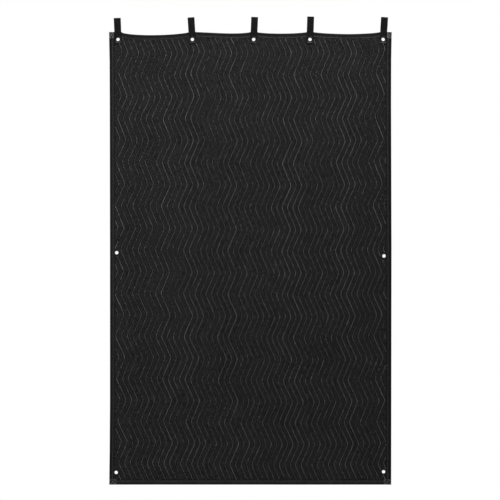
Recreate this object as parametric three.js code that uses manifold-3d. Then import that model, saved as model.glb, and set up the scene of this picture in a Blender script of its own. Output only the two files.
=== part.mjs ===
// An acoustic curtain: a quilted panel with bound edges, five webbing tab loops along the top
// and nine metal eyelets. It hangs from its tab loops.
// Millimetres, +Z up, +X right as seen from the front, and the front faces -Y.
// The origin is the middle of the top edge, halfway through the cloth. "across" is measured from
// the centre line to the right, and "down" from the top edge.

import * as THREE from "three";
import { mergeVertices } from "three/addons/utils/BufferGeometryUtils.js";
import Module from "manifold-3d";

const wasm = await Module();
wasm.setup();
const { lerp, clamp, degToRad, smoothstep: smooth } = THREE.MathUtils;

// The quilted panel: half its thickness inside its bound edges and under them, and the distance
// over which it swells from one to the other. Touching pieces keep GAP between them.
const DROP = 2118;
const PANEL_HALF = 2.5;
const PRESSED_HALF = 1.5;
const SWELL = 7.5;
const GAP = 0.3;

// The tape folded over the panel's four edges
const TAPE = 0.9;
const BINDING_WIDTH = 22.5;
const BINDING_HALF = PRESSED_HALF + GAP + TAPE;

// The side edges wander by a few millimetres: distances from the centre line, by height
const SIDE_EDGES = [
  { down: 0, left: 662.5, right: 660.5 },
  { down: 130, left: 660, right: 658 },
  { down: 320, left: 659, right: 657.5 },
  { down: 1020, left: 658, right: 659.5 },
  { down: 1720, left: 658, right: 658.5 },
  { down: 1960, left: 659.5, right: 658 },
  { down: DROP, left: 661.5, right: 658 },
];

// The tab loops, from left to right. rise is the crown's height over the top edge and lean is in
// degrees to the right. sag, skew and belly describe the cloth from this tab to the next: how far
// the top edge drops, where its lowest point lies, and how far the cloth bows out of its plane.
const TABS = [
  { across: -620.2, lean: -2.3, rise: 66, sag: 14.7, skew: 0.85, belly: -1.3 },
  { across: -272.3, lean: -3.8, rise: 69, sag: 6.5, skew: 1.8, belly: 0.9 },
  { across: 14.5, lean: 2.4, rise: 70.5, sag: 7.5, skew: 0.95, belly: -1.1 },
  { across: 277.9, lean: 1.6, rise: 72.5, sag: 9.4, skew: 1.1, belly: 1.2 },
  { across: 620.2, lean: 3.8, rise: 70, sag: 0, skew: 1, belly: 0 },
];
const SAG_ROUNDNESS = 0.6;
const WEBBING_WIDTH = 32;
const WEBBING = 1.4;
const TAIL_LENGTH = 53;
const TAIL_BEHIND = BINDING_HALF + GAP + WEBBING / 2;
const LOOP_RADIUS = 8;
const LOOP_OPENS_BY = 32;

// The eyelets, of which five go through the tabs. Each has a domed flange in front, and behind it
// a flat washer held by the barrel's rolled end.
const SIDE_EYELETS = [
  { across: -626.3, down: 1032.5 },
  { across: 624.1, down: 1048 },
  { across: -628.9, down: 2060.5 },
  { across: 622.1, down: 2057.5 },
];
const TAB_EYELET_DOWN = 35;
const BORE_RADIUS = 8;
const BARREL_RADIUS = 8.6;
const FLANGE_RADIUS = 13.5;
const HOLE_RADIUS = BARREL_RADIUS + 0.35;
const MOUTH = 0.5;
const DOME = { rim: 0.6, height: 1.6, from: 0.9, to: 2.6 };
const WASHER = { thickness: 0.7, from: 1.8 };
const BEAD = { height: 1.3, at: 1 };

// How the cloth wavers. The bellies between the tabs fade downwards. Lower down the cloth sways
// in two waves, a long one and a shorter one, most at mid height. Round each tab, and in a border
// along each edge, the tape keeps it flat.
const SAG_FADES_BY = 700;
const BELLY_FADES_BY = 900;
const SWAY = { long: 2.8, short: 1.1 };
const HALF_WAVES = { long: 2, short: 5 };
const SWAY_FROM = 200;
const SWAY_FULL = 1100;
const SWAY_LEFT_AT_BOTTOM = 0.3;
const STIFF_BORDER = 60;

// How finely the shapes are drawn
const INNER_COLUMNS = 30;
const INNER_ROWS = 20;
const TAB_STEPS = 5;
const RING_STEPS = 20;
const HOLE_STEPS = 24;
const HOLE_REACH = 60;


// The distance of a side edge from the centre line, between the rows of SIDE_EDGES.
function sideEdge(side, down) {
  const below = SIDE_EDGES.findIndex((row) => row.down >= down);
  const to = SIDE_EDGES[Math.max(below, 1)];
  const from = SIDE_EDGES[Math.max(below, 1) - 1];
  return lerp(from[side], to[side], (down - from.down) / (to.down - from.down));
}

// The tab on the left of a place, and how far that place lies towards the next one (0 to 1).
function spanAt(across, tabHalf) {
  for (let i = 0; i + 1 < TABS.length; i += 1) {
    const from = TABS[i].across + tabHalf;
    const to = TABS[i + 1].across - tabHalf;
    if (across > from && across < to) {
      return { tab: TABS[i], share: (across - from) / (to - from) };
    }
  }
  return null;
}

// How far the top edge droops between two tabs.
function sagAt(across) {
  const span = spanAt(across, WEBBING_WIDTH / 2);
  return span ? span.tab.sag * Math.sin(Math.PI * span.share ** span.tab.skew) ** SAG_ROUNDNESS : 0;
}

// How far the middle of the cloth lies behind the plane that it hangs in.
function bowAt(across, down) {
  const farLeft = STIFF_BORDER - sideEdge("left", down);
  const farRight = sideEdge("right", down) - STIFF_BORDER;
  const inner = clamp(across, farLeft, farRight);
  const lower = Math.max(down, STIFF_BORDER);
  const span = spanAt(inner, STIFF_BORDER);
  const belly = span ? span.tab.belly * Math.sin(Math.PI * span.share) ** 2 : 0;
  const turn = (Math.PI * (inner - farLeft)) / (farRight - farLeft);
  const wave = (size) => SWAY[size] * Math.sin(HALF_WAVES[size] * turn);
  const sway = wave("long") + wave("short");
  const bellyShare = 1 - smooth(lower, STIFF_BORDER, BELLY_FADES_BY);
  const settling = lerp(1, SWAY_LEFT_AT_BOTTOM, smooth(lower, SWAY_FULL, DROP - STIFF_BORDER));
  return belly * bellyShare + sway * smooth(lower, SWAY_FROM, SWAY_FULL) * settling;
}

// A point on the cloth, or "behind" millimetres behind its middle.
function clothPoint(across, down, behind) {
  const droop = sagAt(across) * (1 - smooth(down, STIFF_BORDER, SAG_FADES_BY));
  return new THREE.Vector3(across, bowAt(across, down) + behind, -down - droop);
}

// Closed sheet over a grid of places: point(u, v, face) gives the front (-1) and back (1) points.
function sheet(us, vs, point) {
  const rows = us.length;
  const columns = vs.length;
  const positions = [];
  for (const face of [-1, 1]) {
    for (const u of us) {
      for (const v of vs) {
        positions.push(...point(u, v, face).toArray());
      }
    }
  }
  const front = (i, j) => i * columns + j;
  const back = (i, j) => rows * columns + i * columns + j;
  const index = [];
  const quad = (a, b, c, d) => index.push(a, b, c, a, c, d);
  for (let i = 0; i + 1 < rows; i += 1) {
    for (let j = 0; j + 1 < columns; j += 1) {
      quad(front(i, j), front(i + 1, j), front(i + 1, j + 1), front(i, j + 1));
      quad(back(i, j), back(i, j + 1), back(i + 1, j + 1), back(i + 1, j));
    }
    quad(front(i, 0), back(i, 0), back(i + 1, 0), front(i + 1, 0));
    const last = columns - 1;
    quad(front(i, last), front(i + 1, last), back(i + 1, last), back(i, last));
  }
  for (let j = 0; j + 1 < columns; j += 1) {
    quad(front(0, j), front(0, j + 1), back(0, j + 1), back(0, j));
    const last = rows - 1;
    quad(front(last, j), back(last, j), back(last, j + 1), front(last, j + 1));
  }
  const geometry = new THREE.BufferGeometry();
  geometry.setAttribute("position", new THREE.BufferAttribute(new Float32Array(positions), 3));
  geometry.setIndex(index);
  return geometry;
}

// A geometry as a solid that can be cut. A mirrored grid comes inside out, and is turned round.
function solidOf(geometry) {
  const bare = geometry.clone();
  bare.deleteAttribute("normal");
  bare.deleteAttribute("uv");
  const merged = mergeVertices(bare, 1e-3);
  const solid = (triVerts) =>
    new wasm.Manifold(
      new wasm.Mesh({ numProp: 3, vertProperties: merged.attributes.position.array, triVerts }),
    );
  const triVerts = new Uint32Array(merged.index.array);
  const made = solid(triVerts);
  return made.volume() > 0 ? made : solid(triVerts.reverse());
}

function geometryOf(solid) {
  const mesh = solid.getMesh();
  const geometry = new THREE.BufferGeometry();
  geometry.setAttribute("position", new THREE.BufferAttribute(mesh.vertProperties, 3));
  geometry.setIndex(new THREE.BufferAttribute(mesh.triVerts, 1));
  geometry.computeVertexNormals();
  return geometry;
}

// A cylinder along Y that cuts an eyelet's hole through everything.
function holeAt(position) {
  const cylinder = new THREE.CylinderGeometry(HOLE_RADIUS, HOLE_RADIUS, HOLE_REACH, HOLE_STEPS);
  return solidOf(cylinder.translate(position.x, position.y, position.z));
}

// Evenly spaced values from one end to the other, both ends included.
function spread(from, to, count) {
  return Array.from({ length: count + 1 }, (_, i) => lerp(from, to, i / count));
}

// Every cloth piece changes direction at these stations, so that the gaps between them stay even.
const EDGE = TAPE + GAP;
const PUFFED = BINDING_WIDTH + SWELL;
const ROWS = [
  EDGE,
  BINDING_WIDTH,
  ...spread(PUFFED, DROP - PUFFED, INNER_ROWS),
  DROP - BINDING_WIDTH,
  DROP - EDGE,
];
const COLUMNS = [
  { inset: EDGE, share: 0 },
  { inset: BINDING_WIDTH, share: 0 },
  ...spread(0, 1, INNER_COLUMNS).map((share) => ({ inset: PUFFED, share })),
  { inset: BINDING_WIDTH, share: 1 },
  { inset: EDGE, share: 1 },
];

// Where a column crosses a row: a set distance in from the sides, or a share of the way across.
function acrossAt(column, down) {
  const left = column.inset - sideEdge("left", down);
  const right = sideEdge("right", down) - column.inset;
  return lerp(left, right, column.share);
}

// The quilt: thin and pressed flat under the tape, full thickness inside it.
function quiltedPanel() {
  const panel = sheet(ROWS, COLUMNS, (down, column, face) => {
    const free = column.inset === PUFFED && down >= PUFFED && down <= DROP - PUFFED;
    return clothPoint(acrossAt(column, down), down, face * (free ? PANEL_HALF : PRESSED_HALF));
  });
  const cut = (solid, position) => solid.subtract(holeAt(position));
  return geometryOf(eyeletPositions.reduce(cut, solidOf(panel)));
}

// A tape folded over an edge: a strip less the room for the cloth in it. place(along, inset, behind)
// turns a place along the edge, and in from it, into a point.
function foldedTape(stations, roomStations, place) {
  const outside = sheet(stations, [0, TAPE, BINDING_WIDTH], (along, inset, face) =>
    place(along, inset, face * (inset > 0 ? BINDING_HALF : BINDING_HALF - TAPE)),
  );
  const room = sheet(roomStations, [TAPE, PUFFED], (along, inset, face) =>
    place(along, inset, face * (PRESSED_HALF + GAP)),
  );
  return geometryOf(solidOf(outside).subtract(solidOf(room)));
}

// The side tapes run the full height, and their ends are folded in over the corners.
function sideBinding(side) {
  const sign = side === "left" ? -1 : 1;
  const inner = ROWS.slice(1, -1);
  return foldedTape([0, ...inner, DROP], [TAPE, ...inner, DROP - TAPE], (down, inset, behind) =>
    clothPoint(sign * (sideEdge(side, down) - inset), down, behind),
  );
}

// The top and bottom tapes run from one side tape to the other.
function levelBinding(downFor) {
  const inner = COLUMNS.slice(2, -2);
  const ended = (inset) => [{ inset, share: 0 }, ...inner, { inset, share: 1 }];
  return foldedTape(ended(BINDING_WIDTH + GAP), ended(BINDING_WIDTH - TAPE), (column, inset, behind) => {
    const down = downFor(inset);
    return clothPoint(acrossAt(column, down), down, behind);
  });
}

// The middle line of a tab's webbing, seen from the side: [behind, height over the eyelet].
function tabLine(rise) {
  const topEdge = TAB_EYELET_DOWN;
  const crownCentre = topEdge + rise - WEBBING / 2 - LOOP_RADIUS;
  const climb = spread(0, LOOP_OPENS_BY, TAB_STEPS).map((height) => [
    lerp(TAIL_BEHIND, LOOP_RADIUS, smooth(height, 0, LOOP_OPENS_BY)),
    topEdge + height,
  ]);
  const crown = spread(0, Math.PI / 2, TAB_STEPS).map((turn) => [
    LOOP_RADIUS * Math.cos(turn),
    crownCentre + LOOP_RADIUS * Math.sin(turn),
  ]);
  const back = [[TAIL_BEHIND, topEdge - TAIL_LENGTH], ...climb, ...crown];
  const front = back.slice(0, -1).map(([behind, height]) => [-behind, height]);
  return [...back, ...front.reverse()].map(([behind, height]) => new THREE.Vector2(behind, height));
}

// Both sides of a strip with this middle line.
function stripOutline(line, half) {
  const sideOf = (point, i) => {
    const before = line[Math.max(i - 1, 0)];
    const after = line[Math.min(i + 1, line.length - 1)];
    const along = after.clone().sub(before).normalize();
    return new THREE.Vector2(along.y, -along.x).multiplyScalar(half);
  };
  const one = line.map((point, i) => point.clone().add(sideOf(point, i)));
  const other = line.map((point, i) => point.clone().sub(sideOf(point, i)));
  return new THREE.Shape([...one, ...other.reverse()]);
}

// One tab: webbing folded over, with the eyelet's hole through both of its tails.
function tabLoop(rise) {
  const outline = stripOutline(tabLine(rise), WEBBING / 2);
  const webbing = new THREE.ExtrudeGeometry(outline, { depth: WEBBING_WIDTH, bevelEnabled: false });
  const upright = new THREE.Matrix4().makeBasis(
    new THREE.Vector3(0, 1, 0),
    new THREE.Vector3(0, 0, 1),
    new THREE.Vector3(1, 0, 0),
  );
  webbing.translate(0, 0, -WEBBING_WIDTH / 2).applyMatrix4(upright);
  return geometryOf(solidOf(webbing).subtract(holeAt(new THREE.Vector3())));
}

// One eyelet, turned about Y. grip is the distance from the cloth's middle to each flange.
function eyeletRing(grip) {
  const profile = [
    [BORE_RADIUS, -grip - MOUTH],
    [BORE_RADIUS + DOME.from, -grip - DOME.height],
    [BORE_RADIUS + DOME.to, -grip - DOME.height],
    [FLANGE_RADIUS, -grip - DOME.rim],
    [FLANGE_RADIUS, -grip],
    [BARREL_RADIUS, -grip],
    [BARREL_RADIUS, grip],
    [FLANGE_RADIUS, grip],
    [FLANGE_RADIUS, grip + WASHER.thickness],
    [BORE_RADIUS + WASHER.from, grip + WASHER.thickness],
    [BORE_RADIUS + BEAD.at, grip + BEAD.height],
    [BORE_RADIUS, grip + MOUTH],
  ];
  const points = [...profile, profile[0]].map(([radius, behind]) => new THREE.Vector2(radius, behind));
  return new THREE.LatheGeometry(points, RING_STEPS);
}

// Materials
const material = (color, roughness, metalness) =>
  new THREE.MeshStandardMaterial({ color, roughness, metalness });
const QUILT = material(0x252525, 0.95, 0);
const BINDING_TAPE = material(0x1c1c1c, 0.85, 0);
const WEBBING_CLOTH = material(0x1e1e1e, 0.8, 0);
const BLACK_METAL = material(0x121212, 0.35, 0.8);

function place(group, name, geometry, look, position, lean) {
  const mesh = new THREE.Mesh(geometry, look.clone());
  mesh.name = name;
  mesh.position.copy(position);
  mesh.rotation.y = degToRad(lean);
  group.add(mesh);
}

const tabPositions = TABS.map(({ across }) => clothPoint(across, TAB_EYELET_DOWN, 0));
const sidePositions = SIDE_EYELETS.map(({ across, down }) => clothPoint(across, down, 0));
const eyeletPositions = [...tabPositions, ...sidePositions];

const curtain = new THREE.Group();
const origin = new THREE.Vector3();
place(curtain, "quilted_panel", quiltedPanel(), QUILT, origin, 0);
place(curtain, "heading_binding", levelBinding((inset) => inset), BINDING_TAPE, origin, 0);
place(curtain, "bottom_binding", levelBinding((inset) => DROP - inset), BINDING_TAPE, origin, 0);
place(curtain, "left_binding", sideBinding("left"), BINDING_TAPE, origin, 0);
place(curtain, "right_binding", sideBinding("right"), BINDING_TAPE, origin, 0);
TABS.forEach(({ rise, lean }, i) => {
  place(curtain, `tab_loop_${i + 1}`, tabLoop(rise), WEBBING_CLOTH, tabPositions[i], lean);
});
const TAB_GRIP = TAIL_BEHIND + WEBBING / 2 + GAP;
const SIDE_GRIP = BINDING_HALF + GAP;
eyeletPositions.forEach((position, i) => {
  const grip = i < TABS.length ? TAB_GRIP : SIDE_GRIP;
  place(curtain, `eyelet_${i + 1}`, eyeletRing(grip), BLACK_METAL, position, 0);
});

export default curtain;
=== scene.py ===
# An acoustic curtain, built around its CAD frame: a black quilted panel with zigzag stitching,
# taped edges, five webbing tab loops and nine black eyelets. It hangs flat from its tab loops.
# Metres, +Z up, +X right as seen from the front, and the front faces -Y. "across" is measured from
# the centre line to the right, "down" from the heading's top edge, "inset" inwards from an edge,
# and "behind" from the middle of the cloth towards its back. Anything random is seeded.

import math

import bpy
import numpy as np
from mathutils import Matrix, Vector
from mathutils.bvhtree import BVHTree


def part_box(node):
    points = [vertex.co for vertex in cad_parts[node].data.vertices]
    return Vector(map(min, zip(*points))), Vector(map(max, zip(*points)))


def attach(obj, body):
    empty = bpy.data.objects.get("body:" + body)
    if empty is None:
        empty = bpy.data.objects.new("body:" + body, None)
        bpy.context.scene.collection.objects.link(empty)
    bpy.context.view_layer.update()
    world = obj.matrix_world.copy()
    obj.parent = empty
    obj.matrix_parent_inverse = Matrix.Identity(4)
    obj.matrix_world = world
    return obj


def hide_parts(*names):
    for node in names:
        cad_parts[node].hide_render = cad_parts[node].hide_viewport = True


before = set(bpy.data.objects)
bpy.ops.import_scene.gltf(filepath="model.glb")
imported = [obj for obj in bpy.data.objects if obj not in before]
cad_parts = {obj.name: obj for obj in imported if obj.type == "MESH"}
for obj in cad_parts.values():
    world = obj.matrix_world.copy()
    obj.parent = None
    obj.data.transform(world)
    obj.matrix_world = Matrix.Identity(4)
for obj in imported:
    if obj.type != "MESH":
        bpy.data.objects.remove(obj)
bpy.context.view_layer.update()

# Sizes that the CAD model is driven by too

DROP = 2.118
PRESSED_HALF = 0.0015
SWELL = 0.0075
GAP = 0.0003
TAPE = 0.0009
BINDING_WIDTH = 0.0225
BINDING_HALF = PRESSED_HALF + GAP + TAPE
PUFFED = BINDING_WIDTH + SWELL
PANEL_EDGE = TAPE + GAP

# The side edges wander: their distances from the centre line, at these distances down
EDGE_DOWNS = (0, 0.130, 0.320, 1.020, 1.720, 1.960, DROP)
SIDE_EDGES = {
    "left": (0.6625, 0.6600, 0.6590, 0.6580, 0.6580, 0.6595, 0.6615),
    "right": (0.6605, 0.6580, 0.6575, 0.6595, 0.6585, 0.6580, 0.6580),
}

# The tab loops, left to right: rise over the top edge, lean to the right in degrees, and how the
# cloth droops (sag, skew) and bows (belly) from this tab to the next
TABS = (
    {"across": -0.6202, "lean": -2.3, "rise": 0.0660, "sag": 0.0147, "skew": 0.85, "belly": -0.0013},
    {"across": -0.2723, "lean": -3.8, "rise": 0.0690, "sag": 0.0065, "skew": 1.80, "belly": 0.0009},
    {"across": 0.0145, "lean": 2.4, "rise": 0.0705, "sag": 0.0075, "skew": 0.95, "belly": -0.0011},
    {"across": 0.2779, "lean": 1.6, "rise": 0.0725, "sag": 0.0094, "skew": 1.10, "belly": 0.0012},
    {"across": 0.6202, "lean": 3.8, "rise": 0.0700, "sag": 0.0, "skew": 1.00, "belly": 0.0},
)
SAG_ROUNDNESS = 0.6
WEBBING_WIDTH = 0.032
STRAP_HALF = WEBBING_WIDTH / 2
WEBBING = 0.0014
TAIL_LENGTH = 0.053
TAIL_BEHIND = BINDING_HALF + GAP + WEBBING / 2
LOOP_RADIUS = 0.008
LOOP_OPENS_BY = 0.032
TAB_EYELET_DOWN = 0.035
TAB_GRIP = TAIL_BEHIND + WEBBING / 2 + GAP
SIDE_GRIP = BINDING_HALF + GAP
BORE_RADIUS = 0.008
FLANGE_RADIUS = 0.0135

# How the cloth wavers out of its plane
SAG_FADES_BY = 0.700
BELLY_FADES_BY = 0.900
SWAYS = ((0.0028, 2), (0.0011, 5))
SWAY_FROM = 0.200
SWAY_FULL = 1.100
SWAY_LEFT_AT_BOTTOM = 0.3
STIFF_BORDER = 0.060

# The quilting. PITCH is from one zigzag line to the next, LEG the height of one slanted stretch and
# SWING how far a line leans to each side. The rest says how unevenly the cloth was fed: it grows
# with powers of "low", the distance below LOW_FROM, and of "side", the distance to the right as a
# share of half the width.
PITCH = 0.02533
LEG = 0.10227
SWING = 0.01957
CORNER_SHARPNESS = 0.974
LOW_FROM = 1.0
TURN_AT_TOP = -0.535
LEGS_SHORTEN = (0.0, 0.191, 0.033)
CORNERS_RISE = (-0.072, 0.106, 0.099)
CORNERS_TILT = -0.030
DRIFT = (-0.0018, 0.0222, 0.0071, -0.0160)
DRIFT_TO_THE_SIDE = (0.0024, 0.0019)
DRIFT_OFF_CENTRE = (-0.0040, 0.0157)
HALF_WIDTH = 0.660
MIDDLE_LINE = 0.01478
SPREAD = (0.0, -0.01478, 0.00851)
SPREAD_LINES = 25
FIRST_LINE, LAST_LINE = -32, 32
BESIDE_LINE = 0.15
MIDDLE_ROUNDS = 4

# The quilt's half thickness on a stitched line and on the crown between two lines
STITCHED_HALF = 0.0013
CROWN_HALF = 0.0028
CROWN_ROUNDNESS = 0.7
HELD_HALF = 0.0024

rng = np.random.default_rng(7)


# Shape of the cloth

def smooth(value, low, high):
    share = np.clip((value - low) / (high - low), 0, 1)
    return share * share * (3 - 2 * share)


def waves_of(count, shortest, longest):
    """Seeded waves for an uneven surface: directions with lengths, and phases."""
    lengths = np.exp(rng.uniform(math.log(shortest), math.log(longest), count))
    turns = rng.uniform(0, math.pi, count)
    vectors = 2 * math.pi * np.stack([np.cos(turns), np.sin(turns)], axis=1) / lengths[:, None]
    return vectors, rng.uniform(0, 2 * math.pi, count)


def uneven(waves, across, down):
    """A smooth random value of about -1 to 1 at each place."""
    vectors, phases = waves
    sines = (np.sin(a * across + b * down + phase) for (a, b), phase in zip(vectors, phases))
    return sum(sines) / math.sqrt(len(phases))


LONG_WAVES = waves_of(12, shortest=0.09, longest=0.35)
SHORT_WAVES = waves_of(16, shortest=0.018, longest=0.07)
TAPE_WAVES = waves_of(10, shortest=0.014, longest=0.050)


def side_edge(side, down):
    return np.interp(down, EDGE_DOWNS, SIDE_EDGES[side])


def inset_of(across, down):
    """How far in from the nearest edge of the panel a place is."""
    sideways = np.minimum(side_edge("left", down) + across, side_edge("right", down) - across)
    return np.minimum(sideways, np.minimum(down, DROP - down))


def over_spans(across, margin, value):
    """value(tab, share) in each span between two tabs, and 0 outside them."""
    found = np.zeros_like(across)
    for tab, following in zip(TABS, TABS[1:]):
        start = tab["across"] + margin
        end = following["across"] - margin
        share = (across - start) / (end - start)
        inside = (share > 0) & (share < 1)
        found = np.where(inside, value(tab, np.clip(share, 0, 1)), found)
    return found


def sag_at(across):
    def sag(tab, share):
        return tab["sag"] * np.sin(np.pi * share ** tab["skew"]) ** SAG_ROUNDNESS

    return over_spans(across, STRAP_HALF, sag)


def bow_at(across, down):
    """How far the middle of the cloth lies behind the plane that it hangs in."""
    far_left = STIFF_BORDER - side_edge("left", down)
    far_right = side_edge("right", down) - STIFF_BORDER
    inner = np.clip(across, far_left, far_right)
    lower = np.maximum(down, STIFF_BORDER)
    belly = over_spans(
        inner, STIFF_BORDER, lambda tab, share: tab["belly"] * np.sin(np.pi * share) ** 2
    )
    turn = np.pi * (inner - far_left) / (far_right - far_left)
    sway = sum(size * np.sin(half_waves * turn) for size, half_waves in SWAYS)
    belly_share = 1 - smooth(lower, STIFF_BORDER, BELLY_FADES_BY)
    settled = smooth(lower, SWAY_FULL, DROP - STIFF_BORDER) * (1 - SWAY_LEFT_AT_BOTTOM)
    return belly * belly_share + sway * smooth(lower, SWAY_FROM, SWAY_FULL) * (1 - settled)


RIPPLE = 0.0006


def cloth_point(across, down, behind):
    """Points on the cloth. Between its stiff borders it also ripples by a fraction of a millimetre."""
    across, down, behind = np.broadcast_arrays(across, down, behind)
    droop = sag_at(across) * (1 - smooth(down, STIFF_BORDER, SAG_FADES_BY))
    ripple = RIPPLE * uneven(LONG_WAVES, across, down)
    ripple = ripple * smooth(inset_of(across, down), STIFF_BORDER, 3 * STIFF_BORDER)
    return np.stack([across, bow_at(across, down) + ripple + behind, -down - droop], axis=-1)


def from_side(side, inset, down, behind):
    """Points on the cloth that lie this far in from a side edge."""
    sign = -1 if side == "left" else 1
    return cloth_point(sign * (side_edge(side, down) - inset), down, behind)


def down_from(edge, inset):
    """How far down a place is that lies this far in from the heading's or the bottom edge."""
    return inset if edge == "heading" else DROP - inset


# Quilting lines

def powers(value, sizes):
    """The sum of these sizes times the first power of the value, the second, and so on."""
    return sum(size * value**power for power, size in enumerate(sizes, 1))


def corners_rise(middle, down):
    """By what share of a leg the corners lie higher here than on the centre line."""
    side = middle / HALF_WIDTH
    return powers(side, CORNERS_RISE) + CORNERS_TILT * side * (down - LOW_FROM)


def turns_at(middle, down):
    """The legs that a line has gone through, where the line's own middle is this far across."""
    turns = TURN_AT_TOP + down / LEG + powers(down - LOW_FROM, LEGS_SHORTEN)
    return turns + corners_rise(middle, down)


def zigzag(middle, down):
    """How far a line stands to the right of its own middle, at this distance down."""
    low = down - LOW_FROM
    side = middle / HALF_WIDTH
    drift = powers(low, DRIFT) + side * powers(low, DRIFT_TO_THE_SIDE)
    drift = drift + side**2 * powers(low, DRIFT_OFF_CENTRE)
    swing = np.arcsin(CORNER_SHARPNESS * np.sin(np.pi * turns_at(middle, down)))
    return drift + SWING * swing / math.asin(CORNER_SHARPNESS)


def line_middle(line):
    return MIDDLE_LINE + PITCH * line + powers(line / SPREAD_LINES, SPREAD)


def line_across(line, down):
    middle = line_middle(line)
    return middle + zigzag(middle, down)


def line_number(across, down):
    """Whole numbers on the lines, and shares in between. Each round comes closer to the middle of the
    line that would run through a place."""
    middle = across
    for _ in range(MIDDLE_ROUNDS):
        middle = across - zigzag(middle, down)
    lines = np.arange(FIRST_LINE, LAST_LINE + 1)
    return np.interp(middle, line_middle(lines), lines)


# Mesh making

def outwards(points, faces):
    """Turns a closed mesh's faces round if they face inwards."""
    corners = points[faces]
    areas = np.cross(corners[:, 2] - corners[:, 0], corners[:, -1] - corners[:, 1])
    volume = (corners.mean(axis=1) * areas).sum()
    return faces if volume > 0 else faces[:, ::-1]


def closed_sheet(front, back, kept=True):
    """Faces of a closed sheet between two grids of points, and walls round every open edge of it.
    kept says which cells of the grid are there. Also gives which of the grids' points are used."""
    rows, columns = front.shape[:2]
    count = rows * columns
    corner = np.arange(count).reshape(rows, columns)[:-1, :-1][kept].ravel()
    cells = np.stack([corner, corner + columns, corner + columns + 1, corner + 1], axis=1)
    starts, ends = cells.ravel(), np.roll(cells, -1, axis=1).ravel()
    is_open = ~np.isin(starts * count + ends, ends * count + starts)
    start, end = starts[is_open], ends[is_open]
    walls = np.stack([end, start, start + count, end + count], axis=1)
    faces = np.vstack([cells, cells[:, ::-1] + count, walls])
    used, by_used = np.unique(faces, return_inverse=True)
    points = np.vstack([front.reshape(-1, 3), back.reshape(-1, 3)])[used]
    return used, points, outwards(points, by_used.reshape(faces.shape))


def new_object(name, data):
    made = bpy.data.objects.new(name, data)
    bpy.context.scene.collection.objects.link(made)
    return made


def mesh_piece(name, points, faces, material, slot, nodes=()):
    """A smooth piece of the curtain, which stands for these CAD nodes."""
    mesh = bpy.data.meshes.new(name)
    mesh.from_pydata(points.tolist(), [], faces.tolist())
    mesh.shade_smooth()
    mesh.materials.append(material)
    piece = new_object(name, mesh)
    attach(piece, "root")
    if nodes:
        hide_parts(*nodes)
    return piece


def keep_values(piece, name, values):
    """Stores a number or a vector at each point, for the material to read."""
    kind, field = ("FLOAT", "value") if values.ndim == 1 else ("FLOAT_VECTOR", "vector")
    attribute = piece.data.attributes.new(name, kind, "POINT")
    attribute.data.foreach_set(field, values.astype(np.float32).ravel())


def keep_grid_values(piece, name, used, *values):
    """Stores up to three values of a closed sheet's grid, the same on its front and back."""
    vectors = np.zeros((2, values[0].size, 3))
    for part, value in enumerate(values):
        vectors[:, :, part] = value.ravel()
    keep_values(piece, name, vectors.reshape(-1, 3)[used])


MAP_MARGIN = 0.004


def lay_out(piece, points, faces, layers=1, layer=0):
    """A map for baking, as seen from the front. Two layers lie side by side in it, and layer says
    which one a point is on."""
    low, high = points.min(axis=0), points.max(axis=0)
    inside = MAP_MARGIN + (points - low) / (high - low) * (1 - 2 * MAP_MARGIN)
    places = np.stack([(inside[:, 0] + layer) / layers, inside[:, 2]], axis=1)
    uv_map = piece.data.uv_layers.new(name="OFBake")
    uv_map.data.foreach_set("uv", places[faces].astype(np.float32).ravel())


# Materials

NOISE_RANGE = (0.3, 0.7)


def new_material(name):
    material = bpy.data.materials.new(name)
    material.use_nodes = True
    return material, material.node_tree.nodes["Principled BSDF"]


def feed(node, values):
    """Gives a node its inputs, as numbers, colours or other nodes' outputs."""
    for key, value in values.items():
        if isinstance(value, bpy.types.NodeSocket):
            node.id_data.links.new(value, node.inputs[key])
        else:
            node.inputs[key].default_value = value


def add(beside, kind, values, **settings):
    """Adds a node to the tree that this other node or socket is in."""
    made = beside.id_data.nodes.new("ShaderNode" + kind)
    for key, value in settings.items():
        setattr(made, key, value)
    feed(made, values)
    return made


def maths(operation, first, *rest):
    """The operation with the first value and each of the others in turn."""
    for value in rest or (0.0,):
        first = add(first, "Math", {0: first, 1: value}, operation=operation).outputs[0]
    return first


def product(*values):
    return maths("MULTIPLY", *values)


def rescale(value, low, high, to_low, to_high, easing="LINEAR"):
    ends = {"From Min": low, "From Max": high, "To Min": to_low, "To Max": to_high}
    made = add(value, "MapRange", {"Value": value, **ends}, interpolation_type=easing)
    return made.outputs["Result"]


def fade(value, low, high, to_low=1.0, to_high=0.0):
    return rescale(value, low, high, to_low, to_high, "SMOOTHSTEP")


def noise(place, size, detail=2.0, roughness=0.5):
    """Noise with features of this size, around 0.5."""
    values = {"Vector": place, "Scale": 1 / size, "Detail": detail, "Roughness": roughness}
    return add(place, "TexNoise", values).outputs["Fac"]


def varied(value, low, high):
    """Brings the range that noise mostly keeps to, to this one."""
    return rescale(value, *NOISE_RANGE, low, high)


def stretched(place, scale):
    return add(place, "Mapping", {"Vector": place, "Scale": scale}).outputs["Vector"]


def ribs(value, spacing):
    """A sine wave from -1 to 1 with this spacing."""
    return maths("SINE", product(value, 2 * math.pi / spacing))


def blend(share, first, second):
    """Two colours mixed. The node has its colours at inputs 6 and 7 and at output 2."""
    return add(share, "Mix", {0: share, 6: first, 7: second}, data_type="RGBA").outputs[2]


def grey(value):
    return (value, value, value, 1)


def tinted(tone, colour):
    """A grey colour, times a tone around 1."""
    return blend(product(tone, 0.5), grey(0.0), grey(2 * colour))


def place_in(beside):
    """Where a point is, in metres."""
    return add(beside, "TexCoord", {}).outputs["Object"]


def parts_of(vector):
    return add(vector, "SeparateXYZ", {0: vector}).outputs


def stored(beside, name):
    """The three parts of a vector that is stored at the mesh's points."""
    return parts_of(add(beside, "Attribute", {}, attribute_name=name).outputs["Vector"])


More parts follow.
